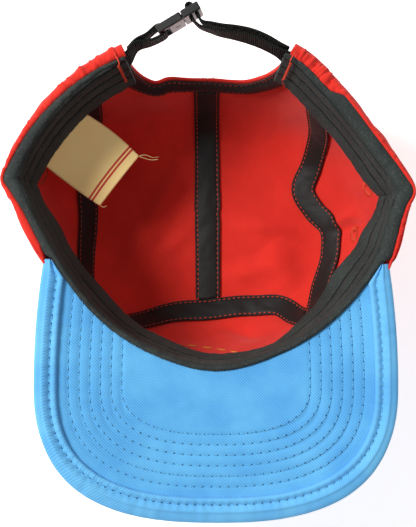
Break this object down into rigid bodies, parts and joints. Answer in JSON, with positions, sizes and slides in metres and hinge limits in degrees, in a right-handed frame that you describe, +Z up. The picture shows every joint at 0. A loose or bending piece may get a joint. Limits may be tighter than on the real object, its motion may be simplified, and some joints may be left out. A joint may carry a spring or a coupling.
{
  "type": "five-panel cap",
  "caption": "Soft cloth cap with a flat brim, a seamed crown, an inner sweatband and a strap with a push-button buckle over the back opening, resting crown down.",
  "frame": {"origin": "centre of the bottom face of the whole part's box, on the surface that the crown rests on", "axes": "+Z up, out of the open rim; -Y to the front, where the brim points; +Y to the strap and buckle; +X to the right of someone who looks into the crown with the brim towards them"},
  "size_m": [0.2102, 0.2656, 0.0989],
  "materials": {
    "red_cotton": "matt plain-weave cotton canvas",
    "red_thread": "sewn thread",
    "blue_twill": "matt cotton twill",
    "black_cotton": "matt brushed cotton",
    "black_webbing": "ribbed webbing with a slight sheen",
    "black_plastic": "moulded, satin",
    "cream_label": "woven satin, cream with a plain red double stripe"
  },
  "bodies": {
    "root": {"front_panel": "red_cotton", "top_panel_left": "red_cotton", "top_panel_right": "red_cotton", "side_panel_left": "red_cotton", "side_panel_right": "red_cotton", "eyelet_front_left": "red_thread", "eyelet_back_left": "red_thread", "eyelet_front_right": "red_thread", "eyelet_back_right": "red_thread", "middle_seam_tape": "black_cotton", "cross_seam_tape": "black_cotton", "side_seam_tape_left": "black_cotton", "side_seam_tape_right": "black_cotton", "opening_tape": "black_cotton", "sweatband": "black_cotton", "brim": "blue_twill", "brim_binding": "blue_twill", "webbing_left": "black_webbing", "webbing_right": "black_webbing", "buckle_socket": "black_plastic", "buckle_plug": "black_plastic", "label": "cream_label"}
  },
  "joints": []
}
